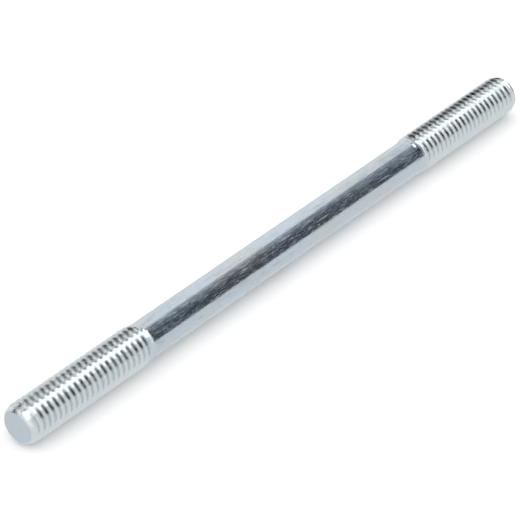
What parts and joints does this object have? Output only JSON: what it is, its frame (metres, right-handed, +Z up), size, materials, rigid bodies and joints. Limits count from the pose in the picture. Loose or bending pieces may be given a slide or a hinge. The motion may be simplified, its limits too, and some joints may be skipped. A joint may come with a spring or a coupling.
{
  "type": "cylinder stud",
  "caption": "Double-ended steel stud: a plain round bar with a rolled M6 x 1 thread on each end and a bevelled point, finished in bright blue-white zinc.",
  "frame": {"origin": "middle of the stud, on its axis", "axes": "X along the stud's axis; +Z up with the stud lying down. The two ends are alike"},
  "size_m": [0.105, 0.006, 0.0058],
  "materials": {
    "zinc_plated_steel": "bright electroplated zinc with a blue-white passivation"
  },
  "bodies": {
    "root": {"cylinder_stud": "zinc_plated_steel"}
  },
  "joints": []
}
